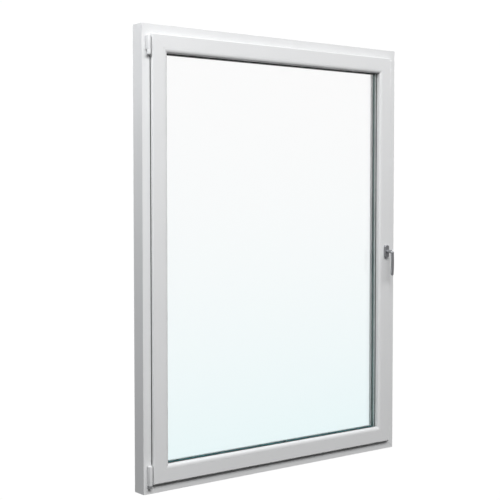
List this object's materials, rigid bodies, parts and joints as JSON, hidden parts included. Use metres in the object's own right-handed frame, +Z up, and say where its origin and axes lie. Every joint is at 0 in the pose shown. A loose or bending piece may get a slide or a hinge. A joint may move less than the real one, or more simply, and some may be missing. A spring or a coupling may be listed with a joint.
{
  "type": "tilt-and-turn window",
  "caption": "Inward-opening plastic tilt-and-turn window: double-glazed sash in a fixed frame, lever handle, gearbox, drive rods, strikers, stay arm and hinges.",
  "frame": {"origin": "middle of the underside of the outer frame, at half its depth", "axes": "+Z up, -Y towards the room, -X towards the hinges"},
  "size_m": [1.5, 0.141, 2],
  "materials": {
    "frame_pvc": "smooth white extruded plastic with a satin gloss",
    "sash_pvc": "smooth white extruded plastic with a satin gloss",
    "bead_pvc": "smooth white extruded plastic with a satin gloss",
    "galvanised_steel": "hot-dip galvanised",
    "gasket_rubber": "matt black",
    "silver_zinc": "silver passivated",
    "cast_zinc": "die-cast, satin",
    "screw_steel": "zinc plated",
    "cam_steel": "turned",
    "hinge_cover_white": "moulded white",
    "run_up_plastic": "moulded light grey",
    "pane_glass": "clear float glass",
    "spacer_aluminium": "mill finish",
    "edge_sealant": "black sealant",
    "packer_plastic": "moulded blue",
    "handle_metal": "dark satin"
  },
  "bodies": {
    "frame": {"frame_sill": "frame_pvc", "frame_jamb_lock": "frame_pvc", "frame_head": "frame_pvc", "frame_jamb_hinge": "frame_pvc", "frame_reinforcements": "galvanised_steel", "frame_gasket": "gasket_rubber", "corner_bearing": "silver_zinc", "stay_bearing": "silver_zinc", "stay_bearing_cover": "hinge_cover_white", "stay_pin": "silver_zinc", "bearing_screws": "screw_steel", "strikers": "silver_zinc", "tilt_striker": "silver_zinc", "striker_screws": "screw_steel", "run_up_block": "run_up_plastic"},
    "sash": {"sash_bottom_rail": "sash_pvc", "sash_stile_lock": "sash_pvc", "sash_top_rail": "sash_pvc", "sash_stile_hinge": "sash_pvc", "sash_reinforcements": "galvanised_steel", "overlap_gasket": "gasket_rubber", "bead_bottom": "bead_pvc", "bead_lock": "bead_pvc", "bead_top": "bead_pvc", "bead_hinge": "bead_pvc", "bead_gaskets": "gasket_rubber", "glazing_gaskets": "gasket_rubber", "glass_pane_room": "pane_glass", "glass_pane_weather": "pane_glass", "spacer_bar": "spacer_aluminium", "edge_sealant": "edge_sealant", "glazing_blocks": "packer_plastic", "faceplate_bottom": "silver_zinc", "faceplate_lock": "silver_zinc", "faceplate_top": "silver_zinc", "faceplate_hinge": "silver_zinc", "gearbox_case": "cast_zinc", "corner_drives": "silver_zinc", "corner_band": "silver_zinc", "corner_band_cover": "hinge_cover_white", "stay_guide": "silver_zinc", "handle_base": "cast_zinc", "rosette_cover": "handle_metal", "handle_screws": "screw_steel", "hardware_screws": "screw_steel"},
    "handle": {"handle_lever": "handle_metal", "spindle": "cast_zinc", "pinion": "cast_zinc"},
    "rod_bottom": {"drive_rod_bottom": "silver_zinc", "cams_bottom": "cam_steel"},
    "rod_lock": {"drive_rod_lock": "silver_zinc", "cams_lock": "cam_steel"},
    "rod_top": {"drive_rod_top": "silver_zinc", "cams_top": "cam_steel"},
    "rod_hinge": {"drive_rod_hinge": "silver_zinc", "cams_hinge": "cam_steel"},
    "pivot": {"pivot_pin": "silver_zinc"},
    "stay": {"stay_arm": "silver_zinc", "stay_arm_cover": "hinge_cover_white"}
  },
  "joints": [
    {"name": "sash_turn", "type": "hinge", "parent": "frame", "child": "pivot", "pos_m": [-0.723, -0.047, 0.04], "axis": [0, 0, -1], "range_deg": [0, 90]},
    {"name": "sash_tilt", "type": "hinge", "parent": "pivot", "child": "sash", "pos_m": [-0.723, -0.047, 0.042], "axis": [1, 0, 0], "range_deg": [0, 5]},
    {"name": "stay_swing", "type": "hinge", "parent": "pivot", "child": "stay", "pos_m": [-0.723, -0.047, 1.88], "axis": [0, 0, -1], "range_deg": [0, 19.21]},
    {"name": "handle_turn", "type": "hinge", "parent": "sash", "child": "handle", "pos_m": [0.67699, -0.024, 1], "axis": [0, 1, 0], "range_deg": [0, 180]},
    {"name": "rod_lock_slide", "type": "slide", "parent": "sash", "child": "rod_lock", "axis": [0, 0, -1], "range_m": [0, 0.0361]},
    {"name": "rod_top_slide", "type": "slide", "parent": "sash", "child": "rod_top", "axis": [1, 0, 0], "range_m": [0, 0.0361]},
    {"name": "rod_bottom_slide", "type": "slide", "parent": "sash", "child": "rod_bottom", "axis": [-1, 0, 0], "range_m": [0, 0.0361]},
    {"name": "rod_hinge_slide", "type": "slide", "parent": "sash", "child": "rod_hinge", "axis": [0, 0, 1], "range_m": [0, 0.0361]}
  ],
  "couplings": [
    {"joint": "stay_swing", "follows": "sash_tilt", "ratio": 3.831},
    {"joint": "rod_lock_slide", "follows": "handle_turn", "m_per_rad": 0.011459},
    {"joint": "rod_top_slide", "follows": "handle_turn", "m_per_rad": 0.011459},
    {"joint": "rod_bottom_slide", "follows": "handle_turn", "m_per_rad": 0.011459},
    {"joint": "rod_hinge_slide", "follows": "handle_turn", "m_per_rad": 0.011459}
  ]
}
